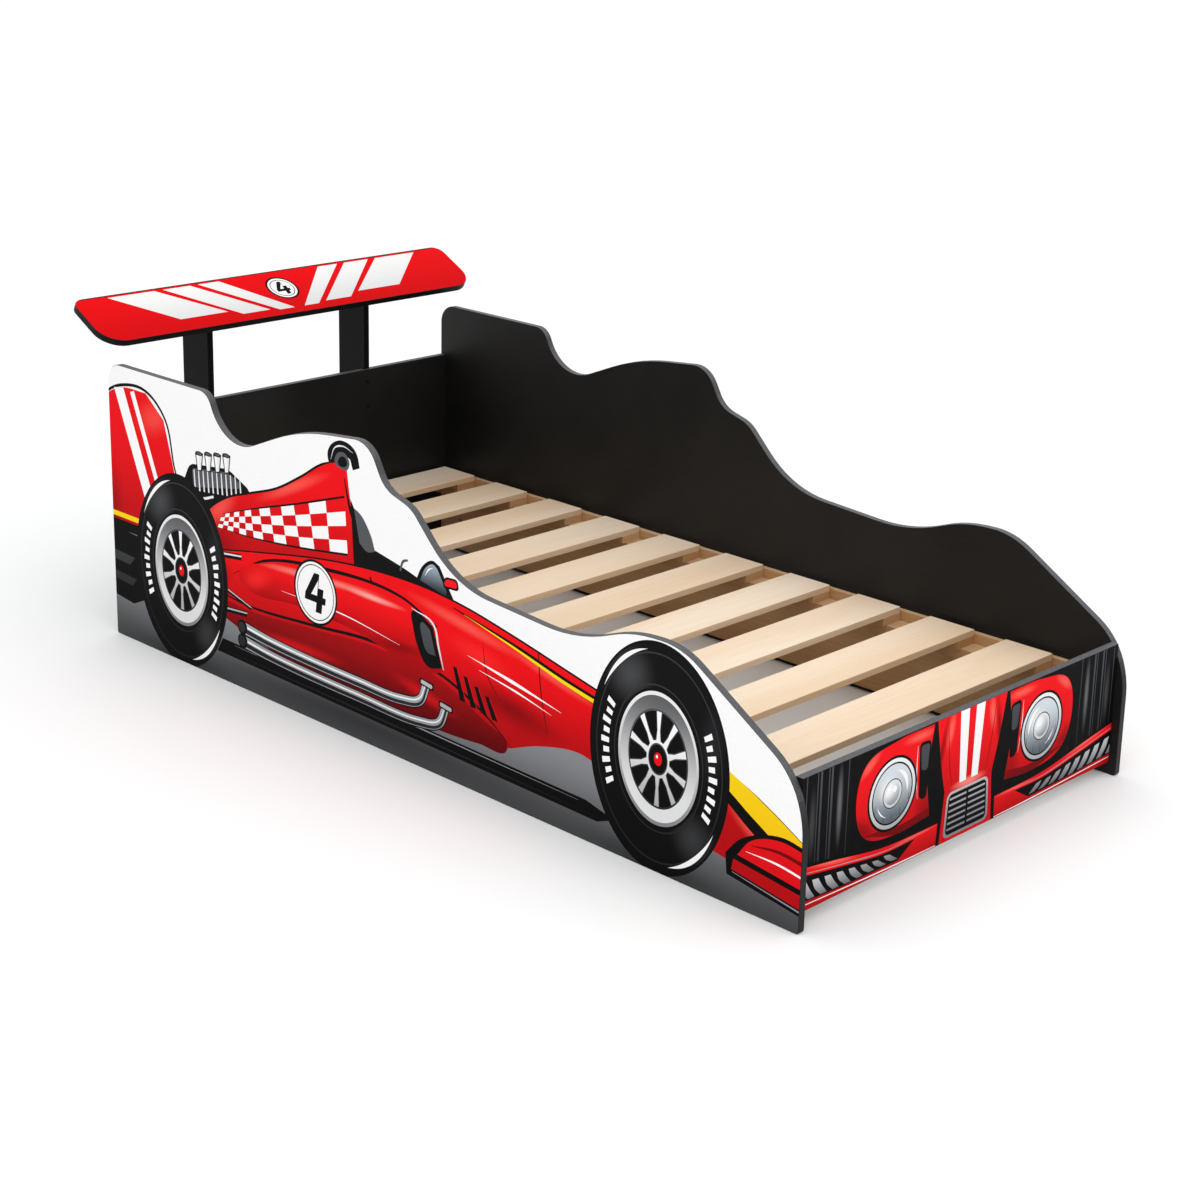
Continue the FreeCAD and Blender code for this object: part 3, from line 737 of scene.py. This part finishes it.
def foot_half():
    """The right half of the car's front, which the left half mirrors."""
    lamp, glass = Vector((222, 166)), 53
    shapes = [("tyre", rounded([(336, 300), (500, 300), (500, 60), (336, 60)], 22)),
              ("black", polygon((322, 290), (336, 290), (334, 60), (318, 60)))]
    for left, width in ((344, 2), (386, 5), (395, 2.4), (414, 5), (424, 2.4), (452, 2)):
        right = left + width
        shapes.append(("graphite", polygon((left, 76), (right, 76), (right, 290), (left, 290))))
    recess = flow([(92, 290, 0), (262, 290, 0), (322, 252), (334, 176), (306, 96), (200, 70), (74, 70, 0)])
    fairing = flow([(112, 262, 0), (214, 260), (300, 238), (321, 172), (296, 108), (204, 86), (112, 92, 0),
                    (124, 170)])
    chin = flow([(112, 92, 0), (204, 86), (296, 108, 0), (268, 108), (200, 100), (114, 108, 0)])
    shapes += [("black", recess), ("red", fairing), ("deep_red", chin),
               ("black", rounded([(118, 236), (152, 238), (146, 132), (124, 128)], 10)),
               ("graphite", rounded([(122, 230), (147, 232), (143, 184), (125, 182)], 7)),
               ("silver", ribbon([(150, 134), (156, 180), (157, 234)], [0.5, 2.6, 0.5]))]
    shapes += rings(lamp, [("black", 68), ("silver", 63), ("black", 56), ("lens", glass)])
    shapes += rings(lamp, [("graphite", 27), ("silver", 25), ("lens", 20)], 48)
    shapes += [("white", disc(lamp + Vector((-6, 7)), 6, steps=32)),
               ("white", sickle(lamp, 37, 45, 105, 190)), ("white", sickle(lamp, 41, 44, 290, 340))]
    for aside in (-46, -23, 0, 23, 46):
        across, low = lamp.x + aside, lamp.y - (glass ** 2 - aside ** 2) ** 0.5
        shapes.append(("graphite", ribbon([(across, low + 2), (across, low + 16)], [1.4, 1.0])))
    return shapes


def foot_bumper():
    """The right half of the low bumper, with slanted bright fins in a dark opening."""
    surround = flow([(0, 10, 0), (500, 10, 0), (500, 116, 0), (372, 98), (240, 78), (60, 74, 0), (0, 74, 0)])
    bumper = flow([(58, 18, 0), (500, 22, 0), (500, 110, 0), (372, 92), (240, 72), (62, 68, 0)])
    opening = flow([(150, 60, 0), (240, 60), (350, 74), (500, 96, 0), (500, 44, 0), (340, 36, 0),
                    (196, 34, 0)])
    shapes = [("black", surround), ("bumper", bumper), ("black", opening)]
    for k in range(9):
        x = 196 + 32 * k
        low, high = 38 + max(0, k - 4) * 1.6, 55 + max(0, k - 1) * 4.0
        middle = (low + high) / 2
        shapes.append(("fin", flow([(x, low, 0), (x + 17, low + 0.6, 0), (x + 33, middle),
                                    (x + 40, high, 0), (x + 24, high - 2, 0), (x + 14, middle)])))
    return shapes + [("white", ribbon([(70, 27), (200, 28), (470, 36)], [1, 2.6, 1.5])),
                     ("silver", ribbon([(150, 63), (240, 64), (350, 78), (480, 97)], [0.5, 2.2, 0.5]))]


def foot_centre():
    """The bonnet with two pale stripes, and the framed grille under it."""
    shapes = [("black", flow([(-118, 290, 0), (118, 290, 0), (92, 160), (84, 100, 0), (88, 18, 0),
                              (-88, 18, 0), (-84, 100, 0), (-92, 160)])),
              ("bonnet", flow([(-108, 290, 0), (108, 290, 0), (82, 164), (70, 122, 0), (78, 24, 0),
                               (-78, 24, 0), (-70, 122, 0), (-82, 164)]))]
    for side in (-1, 1):
        stripe = polygon((side * 11, 290), (side * 38, 290), (side * 27, 128), (side * 8, 128))
        crease = ribbon([(side * 72, 262), (side * 60, 170), (side * 50, 130)], [1, 3, 1])
        shapes += [("white", stripe), ("deep_red", crease)]
    shapes += [("silver", rounded([(-61, 117), (61, 117), (67, 31), (-67, 31)], 13)),
               ("black", rounded([(-56, 112), (56, 112), (61, 36), (-61, 36)], 10))]
    for k in range(6):
        low, reach = 44 + 11.4 * k, 57 - 0.8 * k
        bar = polygon((-reach, low), (reach, low), (reach, low + 4), (-reach, low + 4))
        shapes.append(("silver", rounded(bar, 1.8, 2)))
    return shapes + [("black", polygon((-3, 36), (3, 36), (3, 112), (-3, 112)))]


def foot_drawing(outline):
    """Everything printed on the footboard, from the bottom layer up."""
    shapes = [("night", everywhere(outline))]
    for half in (foot_half(), foot_bumper()):
        shapes += half + [(name, flipped(shape)) for name, shape in half]
    return shapes + foot_centre()


# ---------------------------------------------------------------- the wing's drawing

def wing_inks():
    """The inks of the wing, by name."""
    low, high = 0.66, 0.735
    looks = [
        ("red", "#D0060C", "#E8080F", low, high),
        ("stripe", "#D6D7D8", "#F1F1EF", low, high),
        ("white", "#F4F4F4", "#FBFBFB", low, high),
        ("black", "#0E0E0E", "#161616", low, high),
    ]
    return {name: ink("wing_" + name, *look) for name, *look in looks}


def wing_drawing(outline):
    """Slanted pale stripes on red, three on each half, with a dark line along the rear edge and
    a plain number in the middle."""
    rear, reach = max(p.y for p in outline), 530.0
    line = polygon((-reach, rear - 3), (reach, rear - 3), (reach, rear + 9), (-reach, rear + 9))
    shapes = [("red", everywhere(outline)), ("black", line)]
    stripes = [(140, 197, 14, 55, 132), (218, 290, 79, 152, 127), (312, 432, 184, 309, 112)]
    for side in (-1, 1):
        for inner, outer, front_inner, front_outer, length in stripes:
            high, low = rear - 8, rear - length
            shapes.append(("stripe", polygon((side * inner, high), (side * outer, high),
                                             (side * front_outer, low), (side * front_inner, low))))
    return shapes + number_disc(Vector((0, rear - 62)), 35)


# ---------------------------------------------------------------- printed film

def signed_area(outline):
    return sum(a[0] * b[1] - b[0] * a[1] for a, b in zip(outline, outline[1:] + outline[:1])) / 2


def flat_outline(node, across, upward):
    """The outline, in millimetres, of a board's flat face, and the face's distance from the origin."""
    square_on, play = 0.999, 1e-5
    facing = across.cross(upward)
    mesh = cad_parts[node].data
    level = max(facing.dot(v.co) for v in mesh.vertices)
    places, onward = {}, {}
    for facet in mesh.polygons:
        if facing.dot(facet.normal) < square_on or abs(facing.dot(facet.center) - level) > play:
            continue
        flat = [Vector((across.dot(mesh.vertices[i].co), upward.dot(mesh.vertices[i].co))) / MM
                for i in facet.vertices]
        keys = [(round(p.x, 2), round(p.y, 2)) for p in flat]
        places.update(zip(keys, flat))
        for start, end in zip(keys, keys[1:] + keys[:1]):
            if start in onward.get(end, ()):
                onward[end].discard(start)
            else:
                onward.setdefault(start, set()).add(end)
    loops, left = [], {k: set(v) for k, v in onward.items() if v}
    while left:
        here = next(iter(left))
        loop = []
        while left.get(here):
            loop.append(here)
            follow = left[here].pop()
            if not left[here]:
                del left[here]
            here = follow
        loops.append([places[k] for k in loop])
    return max(loops, key=lambda loop: abs(signed_area(loop))), level


def cells(outline, drawing):
    """Cuts overlapping outlines into flat cells, each with the number of its topmost outline."""
    inside_only, merge_distance = 1, 1e-3
    points, faces = [], []
    for flat in [outline] + [shape for _, shape in drawing]:
        faces.append(list(range(len(points), len(points) + len(flat))))
        points += flat if signed_area(flat) > 0 else flat[::-1]
    corners, _, pieces, _, _, owners = delaunay_2d_cdt(points, [], faces, inside_only, merge_distance, True)
    kept = [(piece, max(owner)) for piece, owner in zip(pieces, owners) if 0 in owner]
    used = sorted({i for piece, _ in kept for i in piece})
    renumbered = {old: new for new, old in enumerate(used)}
    return [corners[i] for i in used], [([renumbered[i] for i in piece], owner) for piece, owner in kept]


def printed_film(name, node, across, upward, drawing, inks):
    """A thin film on a board's flat face, with the drawing printed on it."""
    outline, level = flat_outline(node, across, upward)
    facing = across.cross(upward)
    shapes = drawing(outline)
    corners, pieces = cells(outline, shapes)
    height = level + FILM_LIFT
    mesh = bpy.data.meshes.new(name)
    mesh.from_pydata([across * p.x * MM + upward * p.y * MM + facing * height for p in corners], [],
                     [piece for piece, _ in pieces])
    names = sorted(inks)
    for ink_name in names:
        mesh.materials.append(inks[ink_name])
    for facet, (_, owner) in zip(mesh.polygons, pieces):
        facet.material_index = names.index(shapes[max(owner - 1, 0)][0])
    piece = bpy.data.objects.new(name, mesh)
    bpy.context.scene.collection.objects.link(piece)
    thick = piece.modifiers.new("thickness", "SOLIDIFY")
    thick.thickness = FILM_THICKNESS
    thick.offset = -1.0
    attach(piece, "root")
    return piece


def print_boards():
    """Prints both side panels, the footboard and the wing."""
    inks = side_inks()
    for side, along, mirror in (("right", ALONG_BED, False), ("left", -ALONG_BED, True)):
        printed_film("side_print_" + side, "side_panel_" + side, along, UPWARD, on_side(mirror), inks)
    printed_film("footboard_print", "footboard", ACROSS_BED, UPWARD, foot_drawing, foot_inks())
    rearward = wing_direction().cross(ACROSS_BED)
    printed_film("wing_print", "wing_board", ACROSS_BED, rearward, wing_drawing, wing_inks())


# ---------------------------------------------------------------- floor, light and camera

def seen_directly(tree):
    """1 for the camera's own rays and for those that glossy or clear surfaces send on."""
    path = tree.nodes.new("ShaderNodeLightPath")
    total = None
    for output in ("Is Camera Ray", "Is Glossy Ray", "Is Transmission Ray"):
        if total is None:
            total = path.outputs[output]
            continue
        join = tree.nodes.new("ShaderNodeMath")
        join.operation = "MAXIMUM"
        tree.links.new(total, join.inputs[0])
        tree.links.new(path.outputs[output], join.inputs[1])
        total = join.outputs[0]
    return total


def lay_floor():
    """A wide pale floor that keeps the bed's shadow and looks white where the light is full."""
    corners = [(x * FLOOR_REACH, y * FLOOR_REACH, 0) for x, y in ((-1, -1), (1, -1), (1, 1), (-1, 1))]
    mesh = bpy.data.meshes.new("floor")
    mesh.from_pydata(corners, [], [(0, 1, 2, 3)])
    floor = bpy.data.objects.new("floor", mesh)
    bpy.context.scene.collection.objects.link(floor)
    material = bpy.data.materials.new("floor")
    material.use_nodes = True
    tree = material.node_tree
    tree.nodes.remove(tree.nodes["Principled BSDF"])
    paint = tree.nodes.new("ShaderNodeBsdfDiffuse")
    tone = tree.nodes.new("ShaderNodeMix")
    tone.data_type = "RGBA"
    tone.inputs[6].default_value = FLOOR_PALE
    tone.inputs[7].default_value = FLOOR_SEEN
    tree.links.new(seen_directly(tree), tone.inputs[0])
    tree.links.new(tone.outputs[2], paint.inputs["Color"])
    tree.links.new(paint.outputs[0], tree.nodes["Material Output"].inputs["Surface"])
    mesh.materials.append(material)


def light_studio():
    """An even white dome, and one large soft lamp high above the bed's foot end."""
    world = bpy.data.worlds.new("studio")
    bpy.context.scene.world = world
    world.use_nodes = True
    tree = world.node_tree
    sky = tree.nodes["Background"]
    sky.inputs["Color"].default_value = (1, 1, 1, 1)
    level = tree.nodes.new("ShaderNodeMapRange")
    level.inputs["To Min"].default_value = DOME_LEVEL
    level.inputs["To Max"].default_value = 1.0
    tree.links.new(seen_directly(tree), level.inputs["Value"])
    tree.links.new(level.outputs[0], sky.inputs["Strength"])
    lamp = bpy.data.lights.new("soft_box", "AREA")
    lamp.shape = "RECTANGLE"
    lamp.size = lamp.size_y = LAMP_SIDE
    lamp.energy = LAMP_WATTS
    holder = bpy.data.objects.new("soft_box", lamp)
    holder.location = LAMP_PLACE
    holder.rotation_mode = "QUATERNION"
    holder.rotation_quaternion = (LAMP_AIM - LAMP_PLACE).to_track_quat("-Z", "Y")
    bpy.context.scene.collection.objects.link(holder)


def place_camera():
    """A camera beyond the right-hand corner of the foot end, rolled a little and shifted."""
    turn, lift, roll = (radians(a) for a in (CAMERA_AZIMUTH, CAMERA_ELEVATION, CAMERA_ROLL))
    back = Vector((sin(turn) * cos(lift), -cos(turn) * cos(lift), sin(lift)))
    level = Vector((cos(turn), sin(turn), 0))
    over = back.cross(level)
    right = level * cos(roll) + over * sin(roll)
    up = over * cos(roll) - level * sin(roll)
    camera = bpy.data.cameras.new("camera")
    camera.sensor_width = SENSOR_WIDTH
    camera.lens = SENSOR_WIDTH * CAMERA_FOCAL_PIXELS / IMAGE_SIDE
    camera.shift_y = CAMERA_SHIFT_UP
    camera.dof.use_dof = False
    holder = bpy.data.objects.new("camera", camera)
    holder.matrix_world = Matrix.Translation(CAMERA_PLACE) @ Matrix((right, up, back)).transposed().to_4x4()
    bpy.context.scene.collection.objects.link(holder)
    bpy.context.scene.camera = holder


bpy.context.scene.view_settings.view_transform = "Standard"
dress_nodes()
print_boards()
lay_floor()
light_studio()
place_camera()
